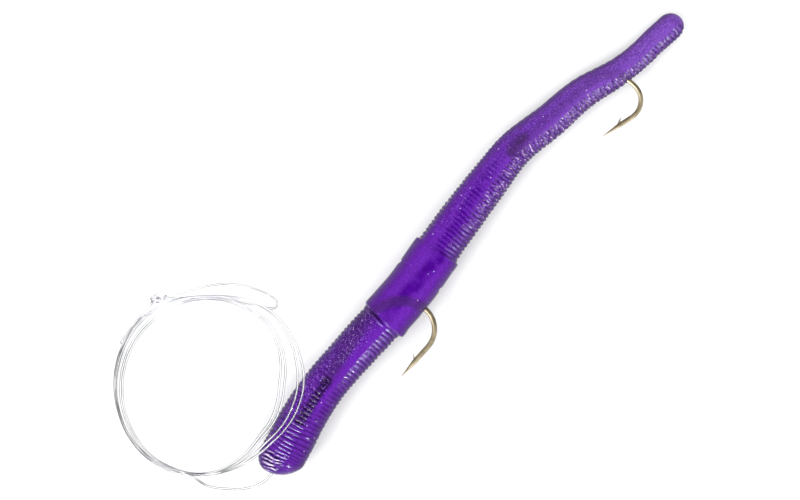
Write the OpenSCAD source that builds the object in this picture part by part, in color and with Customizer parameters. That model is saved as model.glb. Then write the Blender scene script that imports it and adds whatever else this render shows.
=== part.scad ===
// Ringed soft plastic worm with two hooks moulded in and a coiled leader.
// Millimetres. +X runs along the worm from head to tail, +Z is up from the table it lies on,
// and the hooks point to -Y. The origin is on the table, under the middle of worm and hooks.

/* [Worm] */
// Length of the moulded body from head to tail
worm_length = 127; // [116:1:140]
// Diameter of the head just behind its round end
head_dia = 9.8; // [9:0.1:10.5]
// Diameter of the neck between the head and the collar
neck_dia = 9.1; // [8.6:0.1:10]
// Diameter of the ringed body behind the collar
mid_dia = 9.1; // [8.6:0.1:10]
// Diameter at the rear hook's eye
waist_dia = 7.8; // [7.2:0.1:8.6]
// Diameter of the thin tail
tail_dia = 5.7; // [5:0.1:6.4]
// Length of the head's round end
head_round = 4.2; // [3:0.1:6]
// Length of the tail's round end
tail_round = 3.0; // [2:0.1:5]

/* [Rings and collar] */
// Spacing of the moulded rings
ring_pitch = 1.05; // [0.9:0.05:1.6]
// Depth of the grooves between the rings
ring_depth = 0.3; // [0.1:0.05:0.5]
// Distance from the head's end to the collar
collar_set = 39; // [36:0.5:42]
// Length of the smooth collar
collar_length = 18.5; // [14:0.5:22]
// Diameter of the smooth collar
collar_dia = 10.4; // [9.8:0.1:11.4]

/* [Front hook] */
// Distance from the head's end to the front hook's eye
front_set = 14; // [13:0.5:16]
// Wire diameter of the front hook
front_wire = 1.1; // [0.9:0.05:1.3]
// Front hook, length from its eye to the start of its bend
front_shank = 23.3; // [22:0.1:25]
// Front hook, gap between shank and point, middle to middle
front_gap = 12.4; // [11:0.2:14]
// Front hook, radius of the tight half of its bend
front_bend = 5.5; // [4.8:0.1:6.2]
// Front hook, length from the bend to the tip of the point
front_spear = 8.2; // [7:0.1:9]
// Front hook, length of the barb's foot along the wire
front_barb = 0.5; // [0.4:0.1:1.2]
// Turn of the front hook from the worm's long direction
front_turn = 8; // [5:0.2:8.4]

/* [Rear hook] */
// Distance from the tail's tip to the rear hook's eye
rear_set = 43; // [41:0.5:46]
// Wire diameter of the rear hook
rear_wire = 1.0; // [0.8:0.05:1.2]
// Rear hook, length from its eye to the start of its bend
rear_shank = 19.8; // [18:0.2:21]
// Rear hook, gap between shank and point, middle to middle
rear_gap = 10.2; // [9.4:0.2:12]
// Rear hook, radius of the tight half of its bend
rear_bend = 4.2; // [3.6:0.1:4.8]
// Rear hook, length from the bend to the tip of the point
rear_spear = 7.2; // [6:0.1:8]
// Rear hook, length of the barb's foot along the wire
rear_barb = 0.9; // [0.4:0.1:1.2]
// Turn of the rear hook from the worm's long direction
rear_turn = -7; // [-9:0.2:-5]

/* [Points and eyes] */
// Length of the tapered point of both hooks
point_taper = 4.2; // [3:0.1:5]
// Turn of both points towards the shank
point_turn = 8.5; // [7:0.5:10]
// Distance from the tip of the point to the tip of the barb
barb_set = 5.4; // [4.8:0.1:6]
// How far the barb stands out from the wire
barb_rise = 0.9; // [0.4:0.1:1.2]
// Hole in each hook's eye
eye_hole = 1.5; // [1.2:0.1:1.8]

/* [Leader] */
// Diameter of the nylon line
line_dia = 0.5; // [0.4:0.02:0.6]
// Turns of line snelled round the front hook's shank
front_turns = 8; // [5:1:9]
// Turns of line snelled round the rear hook's shank
rear_turns = 5; // [3:1:7]
// Diameter of the coil, middle to middle of its bundle of turns
coil_dia = 37; // [35:0.5:38]
// Width of the bundle of turns
coil_width = 2.8; // [2:0.1:3]
// Height of the bundle of turns
coil_height = 1.1; // [0.8:0.1:1.4]

/* [Fits] */
// Gap all round the hooks and the line in the plastic
grip_gap = 0.05; // [0.02:0.01:0.1]
// Gap between the coil and what it lies on
rest_gap = 0.3; // [0.2:0.05:0.5]

/* [Hidden] */
$fn = 48;

worm_colour = [0.42, 0.16, 0.68];
hook_colour = [0.55, 0.45, 0.28];
line_colour = [0.8, 0.8, 0.85];
body_sides = 20;
cord_sides = 8;
route_steps = 3;

// How the worm lies: [share of its length, sideways share of its length], head first.
lie = [[0, -0.030], [0.05, -0.020], [0.11, -0.006], [0.17, 0.001], [0.25, 0.001], [0.37, -0.001],
       [0.45, 0.008], [0.53, 0.015], [0.60, 0.020], [0.66, 0.022], [0.73, 0.009], [0.80, -0.001],
       [0.86, -0.021], [0.90, -0.029], [0.95, -0.034], [1, -0.040]];
// Thickness of the worm: [share of its length, radius], without its collar and round ends.
shoulder = 0.15;
girth = [[0, head_dia / 2], [0.06, head_dia / 2], [0.20, neck_dia / 2],
         [0.32, (neck_dia + mid_dia) / 4 + shoulder], [0.46, mid_dia / 2], [0.56, mid_dia / 2 - shoulder],
         [0.66, waist_dia / 2], [0.78, (waist_dia + tail_dia) / 4 + shoulder], [0.89, tail_dia / 2],
         [1, tail_dia / 2]];
// The smooth seam along the top: [share of the length, degrees up from the +Y side] and half its width.
seam_middle = [[0, 95], [0.45, 90], [0.6, 85], [0.75, 50], [1, 42]];
seam_half = [[0, 9], [0.45, 12], [0.6, 22], [0.75, 52], [1, 56]];
seam_fade = 20;
// The round ends, as degrees of a quarter turn from the tip.
end_steps = [14, 30, 48, 68];
head_blunt = 0.8;
// The collar's edges: how far the corner is rounded, along and across.
edge_run = 0.3;
edge_drop = 0.15;
collar_steps = 8;
lift_reach = 14;

function slope(p, i) =
  let (a = max(i - 1, 0), b = min(i + 1, len(p) - 1)) (p[b][1] - p[a][1]) / (p[b][0] - p[a][0]);
function span_of(p, x) = max([for (i = [0 : len(p) - 2]) if (i == 0 || x >= p[i][0]) i]);
// A smooth curve through the points p, read at x.
function smooth(p, x) =
  let (i = span_of(p, x), h = p[i + 1][0] - p[i][0], t = (x - p[i][0]) / h)
  (2 * t ^ 3 - 3 * t ^ 2 + 1) * p[i][1] + (t ^ 3 - 2 * t ^ 2 + t) * h * slope(p, i)
  + (3 * t ^ 2 - 2 * t ^ 3) * p[i + 1][1] + (t ^ 3 - t ^ 2) * h * slope(p, i + 1);
function ease(t) = let (u = min(max(t, 0), 1)) u * u * (3 - 2 * u);
function unit(v) = v / norm(v);

// The worm at distance s from its head: sideways place, turn, radius and height of its axis.
function side_at(s) = worm_length * smooth(lie, s / worm_length);
function turn_at(s) = atan(side_at(s + 0.5) - side_at(s - 0.5));
function girth_at(s) = smooth(girth, s / worm_length);
collar_end = collar_set + collar_length;
function lift_at(s) = ease(1 - max(collar_set - s, s - collar_end) / lift_reach);
function height_at(s) = girth_at(s) + (collar_dia / 2 - girth_at(s)) * lift_at(s);

// Rows of the body: [distance from the head, radius, groove depth].
function head_rows() =
  [for (a = end_steps) [head_round * (1 - cos(a)), girth_at(head_round) * sin(a) ^ head_blunt, 0]];
function tail_rows() =
  [for (i = [len(end_steps) - 1 : -1 : 0]) let (a = end_steps[i])
    [worm_length - tail_round * (1 - cos(a)), girth_at(worm_length - tail_round) * sin(a), 0]];
function ring_rows(from, to) =
  let (n = round((to - from) / ring_pitch), step = (to - from) / n)
  [for (i = [0 : n - 1]) each
    [[from + i * step, girth_at(from + i * step), 0],
     [from + (i + 0.5) * step, girth_at(from + (i + 0.5) * step), ring_depth]]];
function collar_rows() =
  let (r = collar_dia / 2, run = collar_length - 2 * edge_run)
  [[collar_set - edge_run, girth_at(collar_set), 0], [collar_set, r - edge_drop, 0],
   for (i = [0 : collar_steps]) [collar_set + edge_run + run * i / collar_steps, r, 0],
   [collar_end, r - edge_drop, 0], [collar_end + edge_run, girth_at(collar_end), 0]];
body_rows = concat(head_rows(), ring_rows(head_round, collar_set - 2 * edge_run), collar_rows(),
                   ring_rows(collar_end + 2 * edge_run, worm_length - tail_round), tail_rows());
function away(a, b) = abs((a - b + 540) % 360 - 180);
function groove(row, a) =
  let (share = row[0] / worm_length)
  row[2] * ease((away(a, smooth(seam_middle, share)) - smooth(seam_half, share)) / seam_fade);
function body_point(row, a) =
  let (s = row[0], r = row[1] - groove(row, a), t = turn_at(s))
  [s - r * cos(a) * sin(t), side_at(s) + r * cos(a) * cos(t), height_at(s) + r * sin(a)];

// Joins rows of points into one closed skin. A ring's last row joins its first.
module skin(rows, ring = false) {
  n = len(rows[0]);
  m = len(rows);
  last = ring ? m - 1 : m - 2;
  sides = [for (i = [0 : last], j = [0 : n - 1])
    let (a = i * n, b = (i + 1) % m * n, k = (j + 1) % n)
    each [[a + j, b + j, b + k], [a + j, b + k, a + k]]];
  ends = ring ? [] : [[for (j = [0 : n - 1]) j], [for (j = [0 : n - 1]) m * n - 1 - j]];
  polyhedron([for (row = rows) each row], concat(sides, ends));
}

// A cord of radius r along a path. The reference is any direction that the path never takes.
function heading(path, i, ring) =
  let (m = len(path), a = ring ? (i + m - 1) % m : max(i - 1, 0), b = ring ? (i + 1) % m : min(i + 1, m - 1))
  unit(path[b] - path[a]);
function round_row(at, along, r, reference) =
  let (u = unit(cross(reference, along)), v = cross(along, u))
  [for (j = [0 : cord_sides - 1]) let (a = 360 * j / cord_sides) at + r * (cos(a) * u + sin(a) * v)];
module cord(path, r, ring = false, reference = [0, 0, 1]) {
  skin([for (i = [0 : len(path) - 1]) round_row(path[i], heading(path, i, ring), r, reference)], ring);
}
// A smooth path through a few points, with n steps between each two.
function mid_point(p, i, t) =
  let (a = p[max(i - 1, 0)], b = p[i], c = p[i + 1], d = p[min(i + 2, len(p) - 1)])
  0.5 * (2 * b + (c - a) * t + (2 * a - 5 * b + 4 * c - d) * t ^ 2 + (3 * b - a - 3 * c + d) * t ^ 3);
function through(p, n) =
  [for (i = [0 : len(p) - 2], k = [0 : n - 1]) mid_point(p, i, k / n), p[len(p) - 1]];

// The eye's wire and the point's profile, as shares of the wire: [share of the taper, share of the radius].
eye_thin = 0.9;
point_shape = [[0, 0.1], [0.4, 0.45], [0.8, 0.85], [1, 1]];
// The barb: its thickness, how far its tip leans back over its foot, and how deep it sits.
barb_thick = 0.5;
barb_lean = 0.9;
barb_seat = 0.55;
// The hooks lie flat, with their eyes on the worm's axis.
front_eye = [front_set, side_at(front_set), height_at(front_set + front_shank / 2)];
rear_at = worm_length - rear_set;
rear_eye = [rear_at, side_at(rear_at), height_at(rear_at + rear_shank / 2)];
function turned(p, a) = [p[0] * cos(a) - p[1] * sin(a), p[0] * sin(a) + p[1] * cos(a), p[2]];
function on_front(p) = front_eye + turned(p, front_turn);
function on_rear(p) = rear_eye + turned(p, rear_turn);
function eye_radius(wire) = (eye_hole + wire) / 2;
// A bend is a wide quarter turn, then a tight one that goes on by the point's turn.
function wide_bend(gap, bend, spear) = gap + spear * sin(point_turn) - bend * cos(point_turn);
front_wide = wide_bend(front_gap, front_bend, front_spear);
rear_wide = wide_bend(rear_gap, rear_bend, rear_spear);

// The origin: under the middle of the worm and its hooks.
function bend_side(eye, shank, wide, bend, wire, a) =
  eye[1] + turned([shank + wide - bend, -wide, 0], a)[1] - bend - wire / 2;
near_side = min(bend_side(front_eye, front_shank, front_wide, front_bend, front_wire, front_turn),
                bend_side(rear_eye, rear_shank, rear_wide, rear_bend, rear_wire, rear_turn));
far_side = max([for (row = body_rows) side_at(row[0]) + row[1]]);
origin = [worm_length / 2, (near_side + far_side) / 2, 0];
module place() {
  translate(-origin) children();
}
module at_front() {
  translate(front_eye) rotate(front_turn) children();
}
module at_rear() {
  translate(rear_eye) rotate(rear_turn) children();
}

// The line: its radius, and how far its middle lies from a wire's.
line_r = line_dia / 2;
function beside(wire) = wire / 2 + grip_gap + line_r;
turn_pitch = line_dia * 1.12;
turn_steps = 12;
function snell_from(wire) = eye_radius(wire) + wire / 2 + line_dia;
function snell_length(turns) = 2 * ends_along[3] + turns * turn_pitch;
// A snell: the line comes in along the wire, is wound round it and goes out along it again.
ends_turn = [0, 26, 42, 50];
ends_along = [0, 0.25, 0.65, 1.2];
function snell_path(wire, turns) =
  let (r = beside(wire), n = turns * turn_steps - 4)
  [for (i = [-3 : n + 3])
    let (wound = min(max(i, 0), n), over = abs(i - wound), way = i < 0 ? -1 : 1,
         a = 90 + 360 * wound / turn_steps + way * ends_turn[over],
         x = ends_along[3] + wound * turn_pitch / turn_steps + way * ends_along[over])
    [snell_from(wire) + x, r * cos(a), r * sin(a)]];
function path_start(wire, turns) = snell_path(wire, turns)[0];
function path_end(wire, turns) = let (p = snell_path(wire, turns)) p[len(p) - 1];

// From the head's tip under the front of the eye, up through it and onto the shank.
function through_eye(wire) =
  let (e = eye_radius(wire), b = beside(wire)) [[-2.4 * e, 0, -b], [-e, 0, -b], [0, 0, 0], [e, 0, b]];
head_tip = [0, side_at(0), height_at(0)];
function on_axis(s) = [s, side_at(s), height_at(s)];
head_route = [head_tip, on_axis(front_set / 6), on_axis(front_set / 2),
              for (p = through_eye(front_wire)) on_front(p), on_front(path_start(front_wire, front_turns))];
// From the front snell along the shank, through the middle of the worm to the rear hook.
front_out = path_end(front_wire, front_turns);
shank_run = 3;
middle_from = front_set + front_shank + front_gap;
middle_to = rear_at - rear_gap;
middle_parts = 3;
middle_step = (middle_to - middle_from) / middle_parts;
middle_route = [for (x = [front_out[0], front_out[0] + shank_run, front_shank + front_wire])
                  on_front([x, front_out[1], front_out[2]]),
                for (i = [0 : middle_parts]) on_axis(middle_from + middle_step * i),
                for (p = through_eye(rear_wire)) on_rear(p), on_rear(path_start(rear_wire, rear_turns))];

// The leader outside the worm: route points chosen by hand, from the worm's head.
coil_far = 35.8;
coil_x = 4.8;
// The coil leans on the head: the lean that clears the head at s, b degrees round the bundle of turns.
function half_high(lean) = norm([coil_width * sin(lean), coil_height * cos(lean)]) / 2;
function lean_at(s, b, lean) =
  let (back = sqrt((coil_dia / 2 + coil_width / 2 * cos(b)) ^ 2 - (s - coil_x) ^ 2), r = girth_at(s),
       d = coil_far - (coil_dia / 2 + back) * cos(lean) - side_at(s),
       top = abs(d) < r ? r + sqrt(r * r - d * d) : 0)
  asin((top + rest_gap + coil_height / 2 * sin(b) * cos(lean) - half_high(lean)) / (coil_dia / 2 + back));
function lean_for(lean) = max([for (s = [0 : coil_dia / 2], b = [0 : 30 : 90]) lean_at(s, b, lean)]);
coil_tilt = lean_for(lean_for(15));
coil_mid = [coil_x, coil_far - coil_dia / 2 * cos(coil_tilt),
            coil_dia / 2 * sin(coil_tilt) + half_high(coil_tilt)];
function on_coil(a, r = coil_dia / 2) =
  coil_mid + [r * cos(a), r * sin(a) * cos(coil_tilt), -r * sin(a) * sin(coil_tilt)];
coil_edge = coil_dia / 2 + coil_width / 2 - line_r / 2;
lead_route = [head_tip, [-2.7, -3.6, 4.9], [-6, -1.8, 5.3], [-8.7, 1.2, 6], [-10.8, 4.6, 6.6],
              on_coil(211, coil_edge)];
knot_at = [11.3, 38.1, 0.9];
// The knot is as small as it ties without the line running into itself.
knot_size = 0.72 * line_dia;
knot_rise = line_dia;
tail_route = [on_coil(86, coil_edge), [7.5, 37.5, 0.5], [9, 37.9, 0.7], [10.4, 38, 0.9]];
tag_route = [[10.3, 38.5, 1.2], [8, 38.4, 1.6], [5, 38.3, 1.8], [2, 38.1, 1.5], [-1, 37.8, 0.7]];
loop_route = [[12, 37.7, 0.8], [13.4, 36.6, 0.4], [14.9, 35.5, 0.28], [17.4, 33.8, 0.25], [20, 32, 0.25],
              [22.2, 30.1, 0.25], [24, 28, 0.25], [25.4, 25.7, 0.25], [26.5, 23.2, 0.25], [27.2, 20.6, 0.25],
              [27, 18.9, 0.25], [25.9, 18.5, 0.25], [24.8, 19.6, 0.25], [23.6, 21.9, 0.25], [22.2, 24.5, 0.25],
              [20.8, 27, 0.25], [19.1, 29.4, 0.25], [17.1, 31.7, 0.25], [15, 34, 0.25], [13.2, 35.9, 0.35],
              [12, 37, 0.7]];

module worm_body() {
  color(worm_colour) place() difference() {
    skin([for (row = body_rows) [for (j = [0 : body_sides - 1]) body_point(row, 360 * j / body_sides)]]);
    pockets();
  }
}
// The room that the plastic leaves for the hooks and the line.
module pockets() {
  at_front() hook(front_wire, front_shank, front_wide, front_bend, front_spear, front_barb, grip_gap);
  at_rear() hook(rear_wire, rear_shank, rear_wide, rear_bend, rear_spear, rear_barb, grip_gap);
  at_front() snell_pocket(front_wire, front_turns);
  at_rear() snell_pocket(rear_wire, rear_turns);
  cord(through(head_route, route_steps), line_r + grip_gap);
  cord(through(middle_route, route_steps), line_r + grip_gap);
}
module snell_pocket(wire, turns) {
  translate([snell_from(wire) - grip_gap, 0, 0]) rotate([0, 90, 0])
    cylinder(r = beside(wire) + line_r + grip_gap, h = snell_length(turns) + 2 * grip_gap);
}
// A bronzed bait hook, eye at the origin, shank along +X, bend and point towards -Y.
module hook(wire, shank, wide, bend, spear, barb, grow = 0) {
  r = wire / 2 + grow;
  e = eye_radius(wire);
  rotate_extrude() translate([e, 0]) circle(r * eye_thin);
  translate([e, 0, 0]) rotate([0, 90, 0]) cylinder(r = r, h = shank - e);
  translate([shank, -wide, 0]) {
    rotate_extrude(angle = 90) translate([wide, 0]) circle(r);
    translate([wide - bend, 0, 0]) rotate(-90 - point_turn) {
      rotate_extrude(angle = 90 + point_turn) translate([bend, 0]) circle(r);
      translate([bend, 0, 0]) rotate(-90) point(r, spear, barb);
    }
  }
}
// The straight end of a hook along +X, with its ground point and its barb towards -Y.
module point(r, spear, barb) {
  foot = spear - barb_set + barb_lean;
  translate([spear, 0, 0]) rotate([0, -90, 0]) rotate_extrude()
    polygon([[0, 0], for (p = point_shape) [r * p[1], point_taper * p[0]], [r, spear], [0, spear]]);
  translate([0, 0, -barb_thick / 2]) linear_extrude(barb_thick)
    polygon([[foot, 0], [foot, -r * barb_seat], [foot - barb_lean, -r - barb_rise],
             [foot + barb, -r * barb_seat], [foot + barb, 0]]);
}
module front_hook() {
  color(hook_colour) place() at_front()
    hook(front_wire, front_shank, front_wide, front_bend, front_spear, front_barb);
}
module rear_hook() {
  color(hook_colour) place() at_rear()
    hook(rear_wire, rear_shank, rear_wide, rear_bend, rear_spear, rear_barb);
}
module front_snell() {
  color(line_colour) place() at_front() cord(snell_path(front_wire, front_turns), line_r, false, [1, 0, 0]);
}
module rear_snell() {
  color(line_colour) place() at_rear() cord(snell_path(rear_wire, rear_turns), line_r, false, [1, 0, 0]);
}
module head_line() {
  color(line_colour) place() cord(through(head_route, route_steps), line_r);
}
module middle_line() {
  color(line_colour) place() cord(through(middle_route, route_steps), line_r);
}
module leader_lead() {
  color(line_colour) place() cord(through(lead_route, route_steps), line_r);
}
module leader_coil() {
  color(line_colour) place() translate(coil_mid) rotate([-coil_tilt, 0, 0])
    rotate_extrude() translate([coil_dia / 2, 0])
      polygon([for (a = [0 : 30 : 330]) [coil_width / 2 * cos(a), coil_height / 2 * sin(a)]]);
}
module leader_tail() {
  color(line_colour) place() cord(through(tail_route, route_steps), line_r);
}
module loop_knot() {
  color(line_colour) place() translate(knot_at)
    cord([for (t = [0 : 10 : 350])
            [knot_size * (sin(t) + 2 * sin(2 * t)), knot_size * (cos(t) - 2 * cos(2 * t)),
             -knot_rise * sin(3 * t)]], line_r, true);
}
module leader_loop() {
  color(line_colour) place() cord(through(loop_route, 2), line_r);
}
module tag_end() {
  color(line_colour) place() cord(through(tag_route, route_steps), line_r);
}

worm_body();
front_hook();
rear_hook();
front_snell();
rear_snell();
head_line();
middle_line();
leader_lead();
leader_coil();
leader_tail();
loop_knot();
leader_loop();
tag_end();
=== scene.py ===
import math

import bmesh
import bpy
import numpy as np
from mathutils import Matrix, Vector, noise
from mathutils.bvhtree import BVHTree


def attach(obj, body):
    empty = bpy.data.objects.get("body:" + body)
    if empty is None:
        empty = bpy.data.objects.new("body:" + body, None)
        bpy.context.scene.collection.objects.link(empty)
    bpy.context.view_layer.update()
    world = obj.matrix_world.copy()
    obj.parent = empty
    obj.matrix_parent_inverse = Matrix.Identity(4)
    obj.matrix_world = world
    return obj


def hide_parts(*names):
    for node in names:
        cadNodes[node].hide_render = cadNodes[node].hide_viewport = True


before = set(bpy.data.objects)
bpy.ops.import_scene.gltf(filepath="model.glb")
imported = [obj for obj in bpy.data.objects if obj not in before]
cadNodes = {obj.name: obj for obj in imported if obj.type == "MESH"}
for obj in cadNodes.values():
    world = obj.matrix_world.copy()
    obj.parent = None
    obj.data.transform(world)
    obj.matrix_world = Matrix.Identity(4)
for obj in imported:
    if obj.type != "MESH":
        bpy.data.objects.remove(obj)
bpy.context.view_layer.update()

mm = 0.001
imageWidth, imageHeight = 800, 500
longSide = max(imageWidth, imageHeight)
print("frame loaded")

# Where things show in the photograph, x to the right and y down.
imagePoints = {
    "wormLeft": (261, 452),
    "wormRight": (684.5, 26),
    "wormTop": (672, 12.5),
    "wormBottom": (287, 473.5),
    "frontHookPoint": (403.9, 378.6),
    "frontHookBend": (435.8, 329),
    "rearHookPoint": (604.4, 137.5),
    "rearHookBend": (642.7, 99),
    "collarFrontLeft": (364.7, 303),
    "collarFrontRight": (402.7, 337),
    "collarRearLeft": (416.6, 237.3),
    "collarRearRight": (457.3, 263.7),
    "leaderLow": (234.6, 490.4),
    "coilLeft": (113.5, 385),
    "knotMiddle": (157, 299),
    "tagTip": (118.3, 344.5),
    "loopTip": (280, 303),
    "ladderFront": (299.5, 421.5),
    "ladderRear": (327, 381),
    "shankRear": (368, 312),
}

# The camera looks straight down through a long lens. Its turn and aim are settled on the image points.
cameraSetup = {
    "lens": 150,
    "sensor": 36,
    "height": 0.6957,
    "aim": (-0.01141, 0.0093),
    "turn": -48.69,
    "shift": (0, 0),
}


def makeCamera(setup):
    data = bpy.data.cameras.new("camera")
    data.lens = setup["lens"]
    data.sensor_width = setup["sensor"]
    data.sensor_fit = "AUTO"
    data.shift_x, data.shift_y = setup["shift"]
    data.clip_start, data.clip_end = 0.05, 5
    camera = bpy.data.objects.new("camera", data)
    camera.location = (*setup["aim"], setup["height"])
    camera.rotation_euler = (0, 0, math.radians(setup["turn"]))
    bpy.context.scene.collection.objects.link(camera)
    bpy.context.scene.camera = camera
    bpy.context.view_layer.update()
    return camera


camera = makeCamera(cameraSetup)
zoomShare = cameraSetup["lens"] / cameraSetup["sensor"]


def toImage(places):
    # where places of the row frame show in the image
    toCamera = np.array(camera.matrix_world.inverted())
    local = np.asarray(places, float) @ toCamera[:3, :3].T + toCamera[:3, 3]
    x = imageWidth / 2 + (-local[:, 0] / local[:, 2] * zoomShare - camera.data.shift_x) * longSide
    y = imageHeight / 2 - (-local[:, 1] / local[:, 2] * zoomShare - camera.data.shift_y) * longSide
    return np.stack([x, y], axis=1)


def onSurface(point, tree):
    # the place on a surface that shows at an image point; a miss takes the place nearest the ray's end
    x, y = point
    aim = Vector((x - imageWidth / 2 + camera.data.shift_x * longSide,
                  imageHeight / 2 - y + camera.data.shift_y * longSide,
                  -longSide * zoomShare))
    ray = (camera.matrix_world.to_3x3() @ aim).normalized()
    start = camera.matrix_world.translation
    place = tree.ray_cast(start, ray)[0]
    if place is None:
        place = tree.find_nearest(start + ray * cameraSetup["height"])[0]
    return place


def smooth(low, high, value):
    t = min(max((value - low) / (high - low), 0), 1)
    return t * t * (3 - 2 * t)


def between(table, value):
    # reads a table of (place, size) pairs at a place, with straight runs between
    return float(np.interp(value, [row[0] for row in table], [row[1] for row in table]))


def window(value, edges):
    # 0 outside the outer edges and 1 between the inner ones
    start, full, past, end = edges
    return smooth(start, full, value) * smooth(end, past, value)


def finishMesh(bm, name):
    mesh = bpy.data.meshes.new(name)
    bm.to_mesh(mesh)
    bm.free()
    piece = bpy.data.objects.new(name, mesh)
    bpy.context.scene.collection.objects.link(piece)
    return piece


# Leader: nylon line from the worm's head, coiled, with a knotted loop on its end.
# The routes are those of part.scad, in metres from the worm's head.
leader = {
    "line": 0.0005,
    "from": (-0.0635, 0.00245, 0),
    "lead": [(0, -0.00381, 0.0049), (-0.0027, -0.0036, 0.0049), (-0.006, -0.0018, 0.0053),
             (-0.0087, 0.0012, 0.006), (-0.0108, 0.0046, 0.0066)],
    "coilMiddle": (0.0048, 0.01793, 0.00542),
    "tilt": 14.95,
    "turns": 4.347,
    "startAngle": 211,
    "pointsPerTurn": 24,
    # inside and outside of the bundle of turns, by the angle from the lead's side, clockwise
    "inner": [(0, 17.4), (45, 18.6), (90, 18.2), (135, 18.0), (180, 18.0), (225, 17.4), (270, 14.3),
              (315, 14.5), (360, 17.4)],
    "outer": [(0, 18.6), (45, 19.7), (90, 19.9), (135, 20.1), (180, 18.6), (225, 20.5), (270, 19.9),
              (315, 17.2), (360, 18.6)],
    "bottomAngle": 221.3,
    # by turns of the coil: share of the way from inside to outside, and height over the lowest turn
    "spread": [(0, 1), (0.45, 0.9), (0.85, 1), (1.12, 0), (1.9, 0.05), (2.12, 0.8), (2.85, 0.72), (3.12, 0.2),
               (3.85, 0.25), (4.15, 0.9), (4.35, 1.1)],
    "stack": [(0, 0), (1, 0.3), (2, 0.75), (3, 1.15), (4, 0.9), (4.35, 0.3)],
    "tail": [(0.0075, 0.0375, 0.0005), (0.009, 0.0379, 0.0007), (0.0104, 0.038, 0.0009)],
    "length": 0.53,
}


def fromHead(point):
    return Vector(point) + Vector(leader["from"])


def coilPoint(turn):
    angle = leader["startAngle"] - 360 * turn
    around = (leader["bottomAngle"] - angle) % 360
    inside, outside = between(leader["inner"], around), between(leader["outer"], around)
    radius = (inside + (outside - inside) * between(leader["spread"], turn)) * mm
    slope = math.tan(math.radians(leader["tilt"]))
    x, y = radius * math.cos(math.radians(angle)), radius * math.sin(math.radians(angle))
    onTable = leader["line"] / 2 - leader["coilMiddle"][2]
    height = max(-y * slope, onTable) + between(leader["stack"], turn) * mm
    return fromHead(leader["coilMiddle"]) + Vector((x, y, height))


def lineCurve(name, points, closed=False, size=leader["line"]):
    data = bpy.data.curves.new(name, "CURVE")
    data.dimensions = "3D"
    data.bevel_depth = size / 2
    data.bevel_resolution = 3
    data.resolution_u = 5
    data.use_fill_caps = True
    spline = data.splines.new("BEZIER")
    spline.bezier_points.add(len(points) - 1)
    spline.use_cyclic_u = closed
    for bend, point in zip(spline.bezier_points, points):
        bend.co = point
        bend.handle_left_type = bend.handle_right_type = "AUTO"
    piece = bpy.data.objects.new(name, data)
    bpy.context.scene.collection.objects.link(piece)
    return piece


def makeLeader():
    steps = round(leader["turns"] * leader["pointsPerTurn"])
    coil = [coilPoint(leader["turns"] * i / steps) for i in range(steps + 1)]
    points = [fromHead(p) for p in leader["lead"]] + coil + [fromHead(p) for p in leader["tail"]]
    return lineCurve("leader", points), points


leaderLine, leaderPoints = makeLeader()
run = sum((b - a).length for a, b in zip(leaderPoints, leaderPoints[1:]))
print("leader made,", round(run, 4), "m")

# Loop on the leader's end: the knot, the loop itself and the line's cut end.
loopEnd = {
    # the knot: its place from the head in metres, its sizes in mm, its turn in degrees
    "knotPlace": (0.0113, 0.0381, 0.0010),
    "knotLong": 0.6,
    "knotWide": 0.5,
    "knotStretch": (1.5, 0.8),
    "knotWraps": 7,
    "knotTurn": -30,
    "knotSteps": 84,
    "knotLine": 0.00046,
    # the routes of the cut end and the loop, in metres from the head
    "tag": [(0.0103, 0.0385, 0.0012), (0.008, 0.0384, 0.0016), (0.005, 0.0383, 0.0018),
            (0.002, 0.0381, 0.0015), (-0.001, 0.0378, 0.0007)],
    "loop": [(0.012, 0.0377, 0.0008), (0.0134, 0.0366, 0.0004), (0.0149, 0.0355, 0.00028),
             (0.0174, 0.0338, 0.00025), (0.020, 0.032, 0.00025), (0.0222, 0.0301, 0.00025),
             (0.024, 0.028, 0.00025), (0.0254, 0.0257, 0.00025), (0.0265, 0.0232, 0.00025),
             (0.0272, 0.0206, 0.00025), (0.027, 0.0189, 0.00025), (0.0259, 0.0185, 0.00025),
             (0.0248, 0.0196, 0.00025), (0.0236, 0.0219, 0.00025), (0.0222, 0.0245, 0.00025),
             (0.0208, 0.027, 0.00025), (0.0191, 0.0294, 0.00025), (0.0171, 0.0317, 0.00025),
             (0.015, 0.034, 0.00025), (0.0132, 0.0359, 0.00035), (0.012, 0.037, 0.0007)],
}


def makeKnot():
    # the line wound round itself: a ring of wraps drawn tight
    middle = fromHead(loopEnd["knotPlace"])
    turn = math.radians(loopEnd["knotTurn"])
    long, wide = loopEnd["knotStretch"]
    points = []
    for i in range(loopEnd["knotSteps"]):
        along = 4 * math.pi * i / loopEnd["knotSteps"]
        across = along * loopEnd["knotWraps"] / 2
        radius = loopEnd["knotLong"] + loopEnd["knotWide"] * math.cos(across)
        x, y = long * radius * math.cos(along), wide * radius * math.sin(along)
        z = loopEnd["knotWide"] * math.sin(across)
        points.append(middle + Vector((x * math.cos(turn) - y * math.sin(turn),
                                       x * math.sin(turn) + y * math.cos(turn), z)) * mm)
    return lineCurve("knot", points, closed=True, size=loopEnd["knotLine"])


knot = makeKnot()
loop = lineCurve("loop", [fromHead(p) for p in loopEnd["loop"]])
tag = lineCurve("cut_end", [fromHead(p) for p in loopEnd["tag"]])
print("loop, knot and cut end made")

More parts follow.
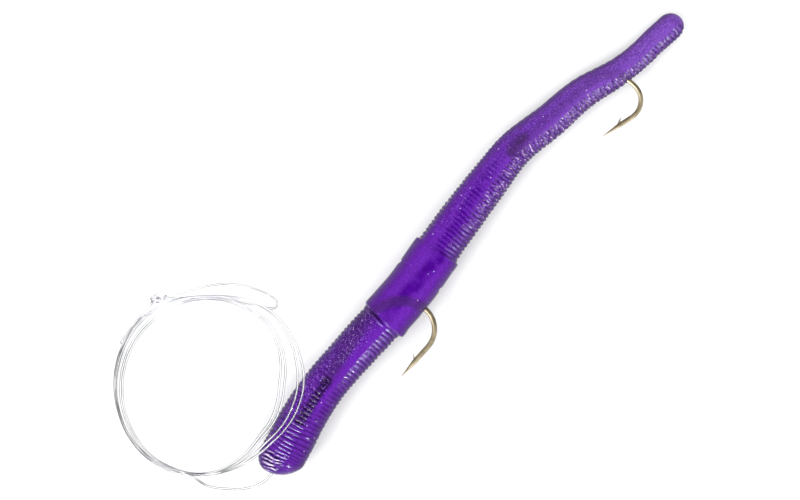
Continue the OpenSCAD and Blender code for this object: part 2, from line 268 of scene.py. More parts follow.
# Worm: the ringed, collared body round the axis of the CAD body. Sizes in mm, places from the head's end,
# angles in degrees: 0 on the +Y side and 90 on top. Something that fades has a pair, from none to full, or
# four edges: none, full, full and none again. "Run" goes along the worm, "Side" round it, and "Turn" is
# measured away from one side.
worm = {
    "length": 127,
    "sides": 96,
    # steps from row to row: on the rings, on the smooth collar and near its edges
    "rowStep": 0.12,
    "smoothStep": 0.3,
    "edgeStep": 0.06,
    "edgeReach": 0.55,
    # how far inside the collar's front and rear edges the long steps start and end
    "smoothInset": (0.5, 0.8),
    # rows close together at both ends, where the skin turns in
    "headRows": (0, 0.02, 0.08, 0.18, 0.32, 0.48),
    "tailRows": (0.42, 0.27, 0.15, 0.07, 0.02, 0),
    "tailFrom": 0.5,
    # where the CAD body is read: first and last place, step, reach of a reading, and how far from the collar
    # the bare body starts
    "readings": (4, 123.5, 0.8),
    "readReach": 1.25,
    "bareFrom": 1.5,
    "headRound": 4.2,
    "headBlunt": 2.1,
    "headSlant": 13,
    "slantRun": (6, 0.5),
    "tailRound": 3.0,
    "collar": (38.9, 57.3),
    "collarEdge": 0.35,
    # how much wider the collar's edges are at their soft places, and how these fade away from each side
    "softLeft": 3,
    "softLeftTurn": (50, 20),
    "softRight": 1.2,
    "softRightTurn": (80, 40),
    "softRear": 2.5,
    "softRearSide": (20, 40, 80, 110),
    # depth and spacing of the rings, by distance from the head
    "ringDepth": [(0, 0.27), (38, 0.27), (58, 0.32), (100, 0.3), (127, 0.22)],
    "pitch": [(0, 0.74), (5, 0.78), (8, 0.99), (39, 1.0), (58, 0.94), (85, 0.94), (110, 0.92), (127, 0.96)],
    "ringPower": 0.8,
    "ringRun": (0.6, 1.6, 125.2, 126.7),
    # the share of the rings' depth that doesn't waver
    "evenDepth": 0.9,
    "rearWanderRun": (74, 90),
    "crumpleRun": (6, 3),
    # uneven patterns on the skin: how much, how fine along and round the worm, and where the noise is read
    "waves": {
        "wander": (0.16, 0.5, 1.6, 3.1),
        "rearWander": (0.34, 0.9, 3.2, 8.7),
        "crumple": (0.6, 0.8, 2.2, 15.2),
        "depth": (0.5, 0.5, 1.5, 21.7),
        "swell": (0.05, 0.25, 1.2, 30.3),
        "fold": (0.9, 1.4, 5.5, 41.3),
        "crestHighlight": (0.35, 1.1, 6.5, 52.9),
        "crestGaps": (1, 1.9, 7.5, 63.7),
    },
    # the smooth strip: middle and half width, by distance
    "stripMiddle": [(0, 128), (10, 118), (20, 104), (38, 98), (58, 68), (78, 60), (90, 52), (104, 46),
                    (127, 50)],
    "stripHalf": [(0, -12), (10, -10), (16, 0), (22, 7), (38, 11), (58, 30), (78, 36), (90, 50), (104, 54),
                  (127, 52)],
    "stripFade": 12,
    # how worn the rings are on the side turned to the coil, where the skin is rough instead
    "worn": [(9, 0), (15, 0.8), (38, 0.8), (40, 0), (127, 0)],
    "wornSide": (2, 34, 80, 100),
    "wornFlat": 0.8,
    # how much fainter the rings are on the right of the head half, in two patches that overlap
    "faint": 0.75,
    "faintRun": (25, 15),
    "faintSide": (98, 114, 168, 190),
    "calm": [(0, 0.3), (3, 0.7), (23, 0.7), (27, 0), (127, 0)],
    "calmSide": (98, 112, 156, 176),
    # the painted highlights on the rear rings: where on a ring, how wide in rings, and where they break
    "crestPlace": -0.22,
    "crestHalf": (0.12, 0.03),
    "crestGaps": (-0.04, 0.2),
    "crestRun": (60, 74, 112, 124),
    "crestSide": (96, 108, 160, 182),
    # the folds on the head's end
    "foldDepth": 0.4,
    "foldGaps": (-0.35, 0.05),
    "foldRun": (0.3, 1.0, 3.6, 4.6),
    "foldSide": (36, 54, 84, 100),
    # the crevice, the ridge before it and the lip behind it, at the collar's front edge: depth, place from
    # the edge, half width where it ends and where it is full, and the side it lies on; depth is below 0 where
    # the skin is raised
    "frontDents": [(0.5, -0.3, 0.3, 0.05, (42, 54, 86, 104)), (-0.2, -0.75, 0.35, 0.05, (46, 56, 92, 106)),
                   (-0.2, 0.8, 1.7, 0.1, (108, 150, 200, 240))],
    # the nicks on both sides of the collar
    "nickDepth": 0.22,
    "nickPlace": 51,
    "nickHalf": (0.5, 0.25),
    "nickTurn": (22, 8),
    # the line down the smooth side of the tail half
    "seamDepth": 0.09,
    "seamMiddle": 40,
    "seamTurn": (5, 1),
    "seamRun": (76, 82, 110, 116),
    # the deep violet core: its middle, as a lean from the top to the +Y side, and its strength
    "coreMiddle": [(0, -8), (38, 0), (46, 0), (56, -12), (59, 0), (64, -2), (72, 11), (80, 14)],
    "coreStrength": [(0, 0.35), (20, 0.3), (36, 0.2), (41, 0.6), (46, 1), (74, 1), (84, 0.25), (127, 0)],
}


def axisOfCad():
    # middle, radius and height of the CAD body, read from the tops and bottoms of its rows
    mesh = cadNodes["worm_body"].data
    co = np.array([v.co for v in mesh.vertices]) / mm
    start = (co[:, 0].min() + co[:, 0].max() - worm["length"]) / 2
    rows = {}
    for s in np.arange(*worm["readings"]):
        near = co[abs(co[:, 0] - start - s) < worm["readReach"]]
        top = near[near[:, 2].argmax()]
        low = near[:, 2].min()
        rows[round(top[0] - start, 3)] = (top[1], (top[2] - low) / 2, (top[2] + low) / 2)
    return start, np.array([(s, *rows[s]) for s in sorted(rows)])


wormStart, wormRows = axisOfCad()
wormLength = worm["length"]
collarFrom, collarTo = worm["collar"]
collarRadius = wormRows[:, 2].max()
bare = (wormRows[:, 0] < collarFrom - worm["bareFrom"]) | (wormRows[:, 0] > collarTo + worm["bareFrom"])


def evened(values):
    padded = np.concatenate([[2 * values[0] - values[1]], values, [2 * values[-1] - values[-2]]])
    return padded[:-2] / 4 + padded[1:-1] / 2 + padded[2:] / 4


def reading(places, values, past=20):
    # a curve through readings, carried straight on past both ends
    values = evened(evened(evened(values)))
    first = (values[3] - values[0]) / (places[3] - places[0])
    last = (values[-1] - values[-4]) / (places[-1] - places[-4])
    places = np.concatenate([[places[0] - past], places, [places[-1] + past]])
    values = np.concatenate([[values[0] - past * first], values, [values[-1] + past * last]])
    return lambda s: float(np.interp(s, places, values))


sideAt = reading(wormRows[:, 0], wormRows[:, 1])
heightAt = reading(wormRows[:, 0], wormRows[:, 3])
bodyAt = reading(wormRows[bare, 0], wormRows[bare, 2])


def phaseTable(step=0.25):
    # how many rings lie before each distance from the head
    places = np.arange(0, wormLength + 1, step)
    rings = step / np.array([between(worm["pitch"], s) for s in places])
    return places, np.concatenate([[0], np.cumsum(rings)[:-1]])


phasePlaces, phaseCounts = phaseTable()


def turned(a, b):
    # how far one angle is turned from another
    return abs((a - b + 180) % 360 - 180)


def wavering(name, s, a):
    # noise over the skin that meets itself again all the way round
    amount, along, around, seed = worm["waves"][name]
    a = math.radians(a)
    return amount * noise.noise(Vector((s * along, around * math.cos(a) + seed, around * math.sin(a))))


def collarShare(s, a):
    # the collar's edges are sharp near the top, soft on the upper left and rounded on the right
    left = worm["softLeft"] * smooth(*worm["softLeftTurn"], turned(a, 0))
    right = worm["softRight"] * smooth(*worm["softRightTurn"], turned(a, 180))
    front = worm["collarEdge"] * (1 + left + right)
    rear = worm["collarEdge"] * (1 + worm["softRear"] * window(a, worm["softRearSide"]))
    risen = smooth(collarFrom - front / 2, collarFrom + front / 2, s)
    return risen * (1 - smooth(collarTo - rear, collarTo + rear, s))


def ribbed(s, a):
    # 1 where the rings stand full, 0 on the smooth strip and the collar
    beyond = turned(a, between(worm["stripMiddle"], s)) - between(worm["stripHalf"], s)
    return smooth(0, worm["stripFade"], beyond) * (1 - collarShare(s, a)) * window(s, worm["ringRun"])


def ringPhase(s, a):
    # how many rings lie before a place on the skin
    wander = wavering("wander", s, a) + smooth(*worm["rearWanderRun"], s) * wavering("rearWander", s, a)
    crumple = smooth(*worm["crumpleRun"], s) * wavering("crumple", s, a)
    return float(np.interp(s, phasePlaces, phaseCounts)) + wander + crumple


def ringHeight(phase):
    # round ribs with narrow grooves: 0 in a groove and 1 on a rib
    return abs(math.sin(math.pi * phase)) ** worm["ringPower"]


def wornShare(s, a):
    # how worn the skin is on the side turned to the coil
    return between(worm["worn"], s) * window(a, worm["wornSide"])


def crestHighlightShare(s, a):
    # painted highlights: thin broken pale lines on the head side of the rear ribs
    phase = ringPhase(s, a) + wavering("crestHighlight", s, a)
    place = abs((phase + 0.5) % 1 - 0.5 - worm["crestPlace"])
    line = smooth(*worm["crestHalf"], place) * smooth(*worm["crestGaps"], wavering("crestGaps", s, a))
    return line * window(s, worm["crestRun"]) * window(a, worm["crestSide"])


def foldShare(s, a):
    # the mould's folds on the upper left of the head's end
    fold = smooth(*worm["foldGaps"], wavering("fold", s, a))
    return fold * window(s, worm["foldRun"]) * window(a, worm["foldSide"])


def grooveDepth(s, a):
    # how deep the groove between two rings is
    faint = worm["faint"] * smooth(*worm["faintRun"], s) * window(a, worm["faintSide"])
    calm = between(worm["calm"], s) * window(a, worm["calmSide"])
    depth = between(worm["ringDepth"], s) * (1 - worm["wornFlat"] * wornShare(s, a) - faint) * (1 - calm)
    return depth * (worm["evenDepth"] + wavering("depth", s, a)) + worm["foldDepth"] * foldShare(s, a)


def dents(s, a):
    # the crevice, ridge and lip at the collar's front edge, the two nicks and the seam of the tail half
    nick = smooth(*worm["nickHalf"], abs(s - worm["nickPlace"]))
    sunk = worm["nickDepth"] * nick * smooth(*worm["nickTurn"], min(turned(a, 0), turned(a, 180)))
    seam = smooth(*worm["seamTurn"], turned(a, worm["seamMiddle"]))
    sunk += worm["seamDepth"] * seam * window(s, worm["seamRun"])
    for depth, place, half, full, side in worm["frontDents"]:
        sunk += depth * smooth(half, full, abs(s - collarFrom - place)) * window(a, side)
    return sunk


def roundEnd(s):
    # the radius towards both ends, as a share of the body's
    head = min(s / worm["headRound"], 1)
    tail = min((wormLength - s) / worm["tailRound"], 1)
    power = worm["headBlunt"]
    return (1 - (1 - head) ** power) ** (1 / power) * (1 - (1 - tail) ** 2) ** 0.5


def wormPoint(s, a):
    # the place of the skin at a distance from the head and an angle
    first = worm["readings"][0]
    body = bodyAt(min(max(s, first), wormLength - first))
    radius = body + (collarRadius - body) * collarShare(s, a)
    radius -= grooveDepth(s, a) * ribbed(s, a) * (1 - ringHeight(ringPhase(s, a)))
    radius += wavering("swell", s, a) - dents(s, a)
    radius *= roundEnd(s)
    slant = math.radians(worm["headSlant"]) * smooth(*worm["slantRun"], s)
    turn = math.atan((sideAt(s + 1) - sideAt(s - 1)) / 2) + slant
    across, up = radius * math.cos(math.radians(a)), radius * math.sin(math.radians(a))
    return Vector((wormStart + s - across * math.sin(turn), sideAt(s) + across * math.cos(turn),
                   heightAt(s) + up)) * mm


def rowPlaces():
    # where the rows of the skin lie, closest at the collar's edges
    front, rear = worm["smoothInset"]
    places = list(worm["headRows"])
    while places[-1] < wormLength - worm["tailFrom"]:
        s = places[-1]
        step = worm["smoothStep"] if collarFrom + front < s < collarTo - rear else worm["rowStep"]
        if min(abs(s - collarFrom), abs(s - collarTo)) < worm["edgeReach"]:
            step = worm["edgeStep"]
        places.append(s + step)
    return places[:-1] + [wormLength - e for e in worm["tailRows"]]


def flatTree(name):
    # a CAD node as seen from above, for measuring how near it lies in plan
    mesh = cadNodes[name].data
    verts = [Vector((v.co.x, v.co.y, 0)) for v in mesh.vertices]
    return BVHTree.FromPolygons(verts, [list(p.vertices) for p in mesh.polygons])


def nearness(tree, place, reach):
    # 1 over the thing, falling to 0 at the reach from its outline
    found = tree.find_nearest(Vector((place.x, place.y, 0)), reach)
    return 0 if found[0] is None else 1 - smooth(0, reach, found[3])


def endOf(name, side):
    # the middle of the last 0.3 mm of a CAD node, towards the head (-1) or the tail (1)
    co = np.array([v.co for v in cadNodes[name].data.vertices])
    reach = co[:, 0] * side
    return co[reach > reach.max() - 0.3 * mm].mean(axis=0)[:2]


def nearLine(place, first, last, half, fade):
    # 1 within half a width of the line between two places in plan, falling to 0 over the fade
    spot, run = np.array((place.x, place.y)) - first, last - first
    share = min(max(float(spot @ run / (run @ run)), 0), 1)
    return 1 - smooth(half, half + fade, float(np.linalg.norm(spot - run * share)))


# What shows through the plastic: the wires, and the dark wound line on them. Widths in metres.
inside = {
    "wireFade": 0.0010,
    # where the hooks' bends show, and how much fainter the rear hook is
    "wireRun": (36.9, 38.9),
    "rearFaint": 0.45,
    "rearFaintRun": (74, 78, 108, 112),
    "woundHalf": 0.0007,
    "woundFade": 0.00055,
    # how much the rib tops lighten the wound line: a painted highlight on the ribs
    "woundRibHighlight": 0.5,
    "shankShade": 0.8,
    "shankHalf": 0.0007,
    "shankFade": 0.0011,
    "eyeHalf": 0.0001,
    "eyeFade": 0.0019,
    # the image points at both ends of the wound line and at the shank's rear end
    "marks": ("ladderFront", "ladderRear", "shankRear"),
}

# What each point of the skin carries for its material, from 0 to 1. Leans are degrees from the top.
skin = {
    "layers": ("core", "flankShade", "outlineShade", "wires", "wound", "eye", "groove", "paleTailLight", "strip", "rough",
               "fold", "crestHighlight"),
    "coreLean": (24, 7),
    # painted shade on the flanks, from the lean where it starts to where it is full
    "flankShadeLean": (28, 64),
    # painted shade on the outline, from the lean where it starts to where it is full
    "outlineShadeLean": (64, 80),
    # painted shade on the rim of the head's end: its strength, and where it starts and is full
    "headOutlineShade": 0.6,
    "headOutlineShadeRun": (1.8, 0.5),
    # how much of the core the ribs behind the collar hide
    "coreHidden": 0.8,
    "coreHiddenRun": (56.3, 58.3),
    # painted shade in the grooves: how much broader it is in the rear, how far worn skin hides it, and how
    # much of it lies between the folds
    "grooveBroad": 1.3,
    "grooveBroadRun": (68, 82),
    "grooveWorn": 0.6,
    "foldGrooveShade": 0.9,
    # powers of the ring's height that keep a shade to the top of a rib or of a fold
    "ribPower": 4,
    "foldPower": 14,
    # painted light: paler towards the tail, where the plastic is thinner
    "paleTailLightRun": (60, 120),
    # rough skin over the wound line, and on the upper left behind the collar
    "woundRough": 0.8,
    "rearRough": 0.3,
    "rearRoughRun": (58, 62),
    "rearRoughSide": (2, 34, 76, 96),
}


def makeWorm():
    places = rowPlaces()
    bm = bmesh.new()
    layers = {name: bm.verts.layers.float.new(name) for name in skin["layers"]}
    bmesh.ops.create_grid(bm, x_segments=len(places) - 1, y_segments=worm["sides"], size=1)
    spots = [(places[round((v.co.x + 1) / 2 * (len(places) - 1))], 180 * (v.co.y + 1)) for v in bm.verts]
    for v, spot in zip(bm.verts, spots):
        v.co = wormPoint(*spot)
    surface = BVHTree.FromBMesh(bm)
    marks = {name: onSurface(imagePoints[name], surface) for name in inside["marks"]}
    ladder = np.array(marks["ladderFront"])[:2], np.array(marks["ladderRear"])[:2]
    shank = ladder[1], np.array(marks["shankRear"])[:2]
    rearEye = endOf("rear_hook", -1), endOf("rear_snell", -1)
    hooks = [flatTree("front_hook"), flatTree("rear_hook")]
    for v, (s, a) in zip(bm.verts, spots):
        lean = math.degrees(math.asin(math.cos(math.radians(a))))
        ribs, ring = ribbed(s, a), ringHeight(ringPhase(s, a))
        worn, fold = wornShare(s, a), foldShare(s, a)
        rib = ring ** skin["ribPower"]
        core = smooth(*skin["coreLean"], abs(lean - between(worm["coreMiddle"], s)))
        core *= 1 - skin["coreHidden"] * rib * smooth(*skin["coreHiddenRun"], s)
        v[layers["core"]] = core * between(worm["coreStrength"], s)
        # painted shade: the flanks darker the further they lean from the top
        v[layers["flankShade"]] = smooth(*skin["flankShadeLean"], abs(lean))
        # painted shade on the outline and on the rim of the head's end
        headOutlineShade = skin["headOutlineShade"] * smooth(*skin["headOutlineShadeRun"], s)
        v[layers["outlineShade"]] = max(smooth(*skin["outlineShadeLean"], abs(lean)), headOutlineShade)
        bend = max(nearness(tree, v.co, inside["wireFade"]) for tree in hooks) * smooth(*inside["wireRun"], s)
        bend *= 1 - inside["rearFaint"] * window(s, inside["rearFaintRun"])
        straight = inside["shankShade"] * nearLine(v.co, *shank, inside["shankHalf"], inside["shankFade"])
        v[layers["wires"]] = max(bend, straight)
        wound = nearLine(v.co, *ladder, inside["woundHalf"], inside["woundFade"])
        # the wound line shows through the plastic; the rib tops over it are painted lighter, a painted
        # highlight
        v[layers["wound"]] = wound * (1 - inside["woundRibHighlight"] * ring)
        v[layers["eye"]] = nearLine(v.co, *rearEye, inside["eyeHalf"], inside["eyeFade"])
        # painted shade in the grooves between the rings and between the folds
        gap = 1 - ring ** (1 + skin["grooveBroad"] * smooth(*skin["grooveBroadRun"], s))
        groove = ribs * gap * (1 - skin["grooveWorn"] * worn)
        v[layers["groove"]] = groove + skin["foldGrooveShade"] * fold * (1 - rib)
        # painted light through the thinner plastic towards the tail
        v[layers["paleTailLight"]] = smooth(*skin["paleTailLightRun"], s)
        v[layers["strip"]] = 1 - ribs
        # painted highlight on the tops of the head's folds
        v[layers["fold"]] = fold * ring ** skin["foldPower"]
        # painted highlight on the head side of the rear ribs
        v[layers["crestHighlight"]] = crestHighlightShare(s, a) * ribs
        left = skin["rearRough"] * window(a, skin["rearRoughSide"]) * smooth(*skin["rearRoughRun"], s)
        v[layers["rough"]] = max(worn, skin["woundRough"] * wound, left)
    bmesh.ops.remove_doubles(bm, verts=bm.verts, dist=1e-6)
    bmesh.ops.recalc_face_normals(bm, faces=bm.faces)
    for face in bm.faces:
        face.smooth = True
    return finishMesh(bm, "worm"), marks


wormPiece, wormMarks = makeWorm()
print("worm made,", len(wormPiece.data.polygons), "faces")


def newMaterial(name):
    material = bpy.data.materials.new(name)
    material.use_nodes = True
    tree = material.node_tree
    return material, tree.nodes, tree.links, tree.nodes["Principled BSDF"]


def tone(red, green, blue, share=1.0):
    # a photograph's colour as light, scaled to how strongly the scene is lit
    def light(value):
        value /= 255
        return value / 12.92 if value <= 0.04045 else ((value + 0.055) / 1.055) ** 2.4
    return tuple(light(v) * share for v in (red, green, blue)) + (1,)


def attribute(nodes, name):
    node = nodes.new("ShaderNodeAttribute")
    node.attribute_name = name
    return node.outputs["Fac"]


def mixed(nodes, links, share, first, second, kind="MIX"):
    node = nodes.new("ShaderNodeMix")
    node.data_type = "RGBA"
    node.blend_type = kind
    for socket, value in ((node.inputs[0], share), (node.inputs[6], first), (node.inputs[7], second)):
        if isinstance(value, bpy.types.NodeSocket):
            links.new(value, socket)
        else:
            socket.default_value = value
    return node.outputs[2]


def worked(nodes, links, kind, first, second):
    node = nodes.new("ShaderNodeMath")
    node.operation = kind
    for socket, value in ((node.inputs[0], first), (node.inputs[1], second)):
        if isinstance(value, bpy.types.NodeSocket):
            links.new(value, socket)
        else:
            socket.default_value = value
    return node.outputs[0]


def ranged(nodes, links, value, low, high, first=0.0, last=1.0):
    node = nodes.new("ShaderNodeMapRange")
    node.interpolation_type = "SMOOTHSTEP"
    links.new(value, node.inputs["Value"])
    for name, number in (("From Min", low), ("From Max", high), ("To Min", first), ("To Max", last)):
        node.inputs[name].default_value = number
    return node.outputs["Result"]


def pattern(nodes, links, kind, scale, **settings):
    node = nodes.new(kind)
    place = nodes.new("ShaderNodeTexCoord")
    links.new(place.outputs["Object"], node.inputs["Vector"])
    node.inputs["Scale"].default_value = scale
    for name, value in settings.items():
        node.inputs[name].default_value = value
    return node


# Purple plastic, with what shows through it, painted shade and painted highlights. "lit" scales the colours
# to this scene's lamps.
plastic = {
    "lit": 0.56,
    "violet": (112, 48, 176),
    "strip": (112, 38, 184),
    "core": (76, 0, 146),
    # painted shade on the flanks
    "flankShade": (84, 40, 126),
    # painted shade on the outline, also used for the painted shade in pits
    "outlineShade": (34, 6, 74),
    # painted shade in the grooves
    "groove": (44, 4, 92),
    "wires": (66, 42, 76),
    "wound": (8, 2, 14),
    # painted light through the thinner plastic of the tail
    "paleTailLight": (138, 92, 196),
    # pale colour of the painted glints on the bumps and of the scattered pale dots
    "speck": (222, 196, 250),
    # painted highlight on the tops of the head's folds
    "fold": (250, 234, 255),
    # painted highlight on the head side of the rear ribs
    "crestHighlight": (232, 200, 250),
    # the painted highlights on the folds and rib crests are lit more than the rest
    "highlightLit": 0.95,
    # each layer goes over the ones before it: its name, how much of it shows, and whether it is broken up
    # the flank, outline and groove layers are painted shade, the fold and crest layers painted highlights,
    # and the pale layer painted light through the thin tail
    "layers": [("strip", 0.7, False), ("paleTailLight", 0.7, False), ("flankShade", 0.8, False), ("core", 1.0, True),
               ("wires", 0.52, False), ("eye", 0.64, False), ("groove", 0.8, False), ("wound", 1.0, False),
               ("outlineShade", 0.8, False), ("fold", 0.95, False), ("crestHighlight", 0.8, False)],
    # noise in the colour: coarse clouds, fine grain, and scattered pale dots
    "cloudScale": 420,
    "patchy": (0.32, 0.56, 0.45, 1),
    "grainScale": 3300,
    "mottle": (0.8, 1.2),
    # painted shade in the pits and painted glints on the bumps of the rough skin
    "pitShade": (0.52, 0.4, 0, 0.65),
    "bumpGlints": (0.6, 0.7, 0, 0.6),
    "dotScale": 900,
    "dotSize": (0.15, 0.08),
    "dotChance": (0.84, 0.86),
    "roughness": (0.07, 0.19),
    "subsurface": 0.06,
    "subsurfaceRadius": (1.0, 0.35, 1.0),
    "subsurfaceScale": 0.0006,
    "ior": 1.42,
    "gloss": 0.1,
    # the bump of the smooth and of the worn skin
    "bump": (0.03, 1),
    "bumpDepth": 0.00012,
}


def plasticMaterial():
    material, nodes, links, shader = newMaterial("worm_plastic")
    colour = {name: tone(*plastic[name], plastic["lit"]) for name in
              ("violet", "strip", "core", "flankShade", "outlineShade", "groove", "wires", "wound", "paleTailLight", "speck")}
    colour.update({name: tone(*plastic[name], plastic["highlightLit"]) for name in ("fold", "crestHighlight")})
    cloud = pattern(nodes, links, "ShaderNodeTexNoise", plastic["cloudScale"], Detail=3.0).outputs["Fac"]
    grain = pattern(nodes, links, "ShaderNodeTexNoise", plastic["grainScale"], Detail=3.0).outputs["Fac"]
    paleDots = pattern(nodes, links, "ShaderNodeTexVoronoi", plastic["dotScale"])
    rough = attribute(nodes, "rough")
    patchy = ranged(nodes, links, cloud, *plastic["patchy"])
    made = colour["violet"]
    for name, amount, broken in plastic["layers"]:
        share = worked(nodes, links, "MULTIPLY", attribute(nodes, name), amount)
        if broken:
            share = worked(nodes, links, "MULTIPLY", share, patchy)
        made = mixed(nodes, links, share, made, colour["wires" if name == "eye" else name])
    fine = ranged(nodes, links, grain, 0.35, 0.65)
    darkest, palest = ((share, share, share, 1) for share in plastic["mottle"])
    mottled = mixed(nodes, links, fine, darkest, palest)
    made = mixed(nodes, links, 1.0, made, mottled, "MULTIPLY")
    # painted shade in the low places of the grain, which the bump makes pits
    pitShade = worked(nodes, links, "MULTIPLY", rough, ranged(nodes, links, grain, *plastic["pitShade"]))
    made = mixed(nodes, links, pitShade, made, colour["outlineShade"])
    # painted glints on the high places of the grain, which the bump makes tops
    bumpGlints = worked(nodes, links, "MULTIPLY", rough, ranged(nodes, links, grain, *plastic["bumpGlints"]))
    made = mixed(nodes, links, bumpGlints, made, colour["speck"])
    chance = nodes.new("ShaderNodeSeparateColor")
    links.new(paleDots.outputs["Color"], chance.inputs["Color"])
    size = ranged(nodes, links, paleDots.outputs["Distance"], *plastic["dotSize"])
    chosen = ranged(nodes, links, chance.outputs["Red"], *plastic["dotChance"])
    dots = worked(nodes, links, "MULTIPLY", size, chosen)
    made = mixed(nodes, links, dots, made, colour["speck"])
    links.new(made, shader.inputs["Base Color"])
    links.new(ranged(nodes, links, cloud, 0.3, 0.7, *plastic["roughness"]), shader.inputs["Roughness"])
    shader.inputs["Subsurface Weight"].default_value = plastic["subsurface"]
    shader.inputs["Subsurface Radius"].default_value = plastic["subsurfaceRadius"]
    shader.inputs["Subsurface Scale"].default_value = plastic["subsurfaceScale"]
    shader.inputs["IOR"].default_value = plastic["ior"]
    shader.inputs["Specular IOR Level"].default_value = plastic["gloss"]
    bump = nodes.new("ShaderNodeBump")
    links.new(ranged(nodes, links, rough, 0, 1, *plastic["bump"]), bump.inputs["Strength"])
    bump.inputs["Distance"].default_value = plastic["bumpDepth"]
    links.new(grain, bump.inputs["Height"])
    links.new(bump.outputs["Normal"], shader.inputs["Normal"])
    return material


wormPiece.data.materials.append(plasticMaterial())

# Bronzed hook wire.
bronze = {
    "lit": 0.6,
    "warm": (152, 138, 104),
    "dark": (116, 102, 72),
    "metal": 0.35,
    "roughness": (0.4, 0.58),
    "cloudScale": 600,
    "scratchScale": 3500,
    "bump": 0.3,
    "bumpDepth": 0.00002,
}


def bronzeMaterial():
    material, nodes, links, shader = newMaterial("hook_bronze")
    warm, dark = tone(*bronze["warm"], bronze["lit"]), tone(*bronze["dark"], bronze["lit"])
    cloud = pattern(nodes, links, "ShaderNodeTexNoise", bronze["cloudScale"], Detail=3.0).outputs["Fac"]
    scratch = pattern(nodes, links, "ShaderNodeTexNoise", bronze["scratchScale"], Detail=2.0).outputs["Fac"]
    clouded = ranged(nodes, links, cloud, 0.35, 0.65)
    links.new(mixed(nodes, links, clouded, dark, warm), shader.inputs["Base Color"])
    links.new(ranged(nodes, links, scratch, 0.3, 0.7, *bronze["roughness"]), shader.inputs["Roughness"])
    shader.inputs["Metallic"].default_value = bronze["metal"]
    bump = nodes.new("ShaderNodeBump")
    bump.inputs["Strength"].default_value = bronze["bump"]
    bump.inputs["Distance"].default_value = bronze["bumpDepth"]
    links.new(scratch, bump.inputs["Height"])
    links.new(bump.outputs["Normal"], shader.inputs["Normal"])
    return material


def refinish(name, finish):
    cadNodes[name].data.materials.clear()
    cadNodes[name].data.materials.append(finish)


hookFinish = bronzeMaterial()
for name in ("front_hook", "rear_hook"):
    refinish(name, hookFinish)

# Clear nylon. The haze is darker on the single strands of the loop and paler on the knot.
nylon = {
    "clear": (255, 255, 255),
    "edge": (18, 18, 22),
    "haze": (126, 126, 132),
    "endHaze": (56, 56, 58),
    "knotHaze": (186, 186, 190),
    "edgeFrom": 0.03,
    "edgeTo": 0.18,
    "cloudScale": 90,
    "roughness": 0.04,
    "ior": 1.3,
    "clearness": 0.82,
}


def nylonMaterial(name, haze):
    # clear line: the rim of a round strand bends the light away, so it shows grey
    material, nodes, links, shader = newMaterial(name)
    facing = nodes.new("ShaderNodeLayerWeight")
    facing.inputs["Blend"].default_value = 0.5
    rim = ranged(nodes, links, facing.outputs["Facing"], nylon["edgeFrom"], nylon["edgeTo"])
    cloud = pattern(nodes, links, "ShaderNodeTexNoise", nylon["cloudScale"], Detail=2.0).outputs["Fac"]
    hazy = ranged(nodes, links, cloud, 0.4, 0.6)
    edge = mixed(nodes, links, hazy, tone(*nylon["edge"]), tone(*nylon[haze]))
    links.new(mixed(nodes, links, rim, tone(*nylon["clear"]), edge), shader.inputs["Base Color"])
    shader.inputs["Roughness"].default_value = nylon["roughness"]
    shader.inputs["IOR"].default_value = nylon["ior"]
    shader.inputs["Transmission Weight"].default_value = nylon["clearness"]
    return material


lineFinish = nylonMaterial("nylon_line", "haze")
endFinish = nylonMaterial("nylon_end", "endHaze")
knotFinish = nylonMaterial("nylon_knot", "knotHaze")
for piece, finish in ((leaderLine, lineFinish), (knot, knotFinish), (loop, endFinish), (tag, endFinish)):
    piece.data.materials.append(finish)
    piece.visible_shadow = False
for name in ("front_snell", "rear_snell", "head_line", "middle_line"):
    refinish(name, lineFinish)
print("finishes made")

# Stage: a plain pale floor, soft light from above, two key lights, and small lamps for the highlights.
stage = {
    "floorSize": 1.6,
    "floorTone": (0.72, 0.72, 0.72, 1),
    "fibreScale": 60,
    "floorRoughness": (0.8, 0.9),
    # the soft light and the key lights: strength, angle, turn from the tail's side and rise from the table
    "fillLight": (5.0, 130, 0, 90),
    "sideLight": (1.2, 16, -118, 10),
    "headLight": (1.4, 24, 172, 36),
    # the small lamps that only the gloss shows: strength, angle, and the turn and rise of each
    "glints": [(3.6, 5, ((-118, 4), (-118, 14), (-118, 24))), (1.0, 5, ((-66, 8), (-66, 22))),
               (6.8, 12, ((162, 36), (178, 36), (194, 36), (210, 34)))],
    # the sky's strength at the horizon and overhead, and between which heights it fades
    "horizon": 0.55,
    "zenith": 0.06,
    "skyFade": (0.15, 0.75),
}


def makeStage():
    bm = bmesh.new()
    bmesh.ops.create_grid(bm, x_segments=1, y_segments=1, size=stage["floorSize"] / 2)
    bmesh.ops.translate(bm, verts=bm.verts, vec=(*cameraSetup["aim"], 0))
    floor = finishMesh(bm, "floor")
    material, nodes, links, shader = newMaterial("floor_paper")
    fibre = pattern(nodes, links, "ShaderNodeTexNoise", stage["fibreScale"], Detail=4.0).outputs["Fac"]
    links.new(ranged(nodes, links, fibre, 0.3, 0.7, *stage["floorRoughness"]), shader.inputs["Roughness"])
    shader.inputs["Base Color"].default_value = stage["floorTone"]
    shader.inputs["Specular IOR Level"].default_value = 0.0
    floor.data.materials.append(material)


def makeSun(name, strength, angle, turn, rise, gloss):
    data = bpy.data.lights.new(name, "SUN")
    data.energy = strength
    data.angle = math.radians(angle)
    sun = bpy.data.objects.new(name, data)
    turn, rise = math.radians(turn), math.radians(rise)
    towards = Vector((math.cos(turn) * math.cos(rise), math.sin(turn) * math.cos(rise), math.sin(rise)))
    sun.rotation_euler = towards.to_track_quat("Z", "Y").to_euler()
    sun.location = towards * 0.5
    sun.visible_glossy = gloss
    sun.visible_diffuse = not gloss
    bpy.context.scene.collection.objects.link(sun)


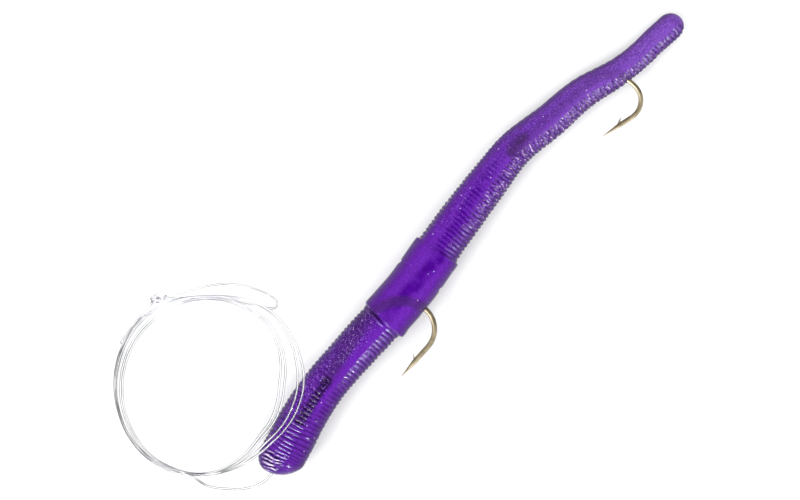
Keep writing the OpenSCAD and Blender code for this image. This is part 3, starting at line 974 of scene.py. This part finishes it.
def makeSky():
    world = bpy.data.worlds.new("studio")
    bpy.context.scene.world = world
    world.use_nodes = True
    nodes, links = world.node_tree.nodes, world.node_tree.links
    place = nodes.new("ShaderNodeTexCoord")
    split = nodes.new("ShaderNodeSeparateXYZ")
    links.new(place.outputs["Generated"], split.inputs[0])
    strength = ranged(nodes, links, split.outputs["Z"], *stage["skyFade"], stage["horizon"], stage["zenith"])
    links.new(strength, nodes["Background"].inputs["Strength"])


makeStage()
for name in ("fillLight", "sideLight", "headLight"):
    makeSun(name, *stage[name], gloss=False)
for strength, angle, aims in stage["glints"]:
    for turn, rise in aims:
        makeSun("glint", strength, angle, turn, rise, gloss=True)
makeSky()
bpy.context.scene.view_settings.view_transform = "Standard"
print("stage and lights made")

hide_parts("worm_body")
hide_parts("leader_lead", "leader_coil", "leader_tail")
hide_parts("loop_knot")
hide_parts("leader_loop")
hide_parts("tag_end")
for piece in (wormPiece, leaderLine, knot, loop, tag):
    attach(piece, "root")


def shownVertices(piece):
    view = piece.evaluated_get(bpy.context.evaluated_depsgraph_get())
    mesh = view.to_mesh()
    co = np.empty(len(mesh.vertices) * 3)
    mesh.vertices.foreach_get("co", co)
    view.to_mesh_clear()
    return co.reshape(-1, 3)


def firstOf(spots, direction):
    # the spot that lies furthest in a direction of the image
    return spots[(spots @ np.array(direction)).argmax()]


def measurePoints():
    wormSpots = toImage(shownVertices(wormPiece))
    front, rear = (toImage(shownVertices(cadNodes[name])) for name in ("front_hook", "rear_hook"))
    leaderSpots, loopSpots, tagSpots = (toImage(shownVertices(piece)) for piece in (leaderLine, loop, tag))
    corners = {}
    for end, place in (("Front", collarFrom + 0.25), ("Rear", collarTo - 0.3)):
        corners["collar" + end + "Left"] = toImage([wormPoint(place, 0)])[0]
        corners["collar" + end + "Right"] = toImage([wormPoint(place, 180)])[0]
    found = {
        "wormLeft": firstOf(wormSpots, (-1, 0)),
        "wormRight": firstOf(wormSpots, (1, 0)),
        "wormTop": firstOf(wormSpots, (0, -1)),
        "wormBottom": firstOf(wormSpots, (0, 1)),
        "frontHookPoint": firstOf(front, (0.6, 1)),
        "frontHookBend": firstOf(front, (1, 0)),
        "rearHookPoint": firstOf(rear, (0.5, 1)),
        "rearHookBend": firstOf(rear, (1, 0)),
        **corners,
        "leaderLow": firstOf(leaderSpots, (0, 1)),
        "coilLeft": firstOf(leaderSpots, (-1, 0)),
        "knotMiddle": toImage(shownVertices(knot)).mean(axis=0),
        "tagTip": firstOf(tagSpots, (-1, 1)),
        "loopTip": firstOf(loopSpots, (1, 0.3)),
        **{name: toImage([place])[0] for name, place in wormMarks.items()},
    }
    return {name: [round(float(found[name][0] - x), 1), round(float(found[name][1] - y), 1)]
            for name, (x, y) in imagePoints.items()}


measurePoints()
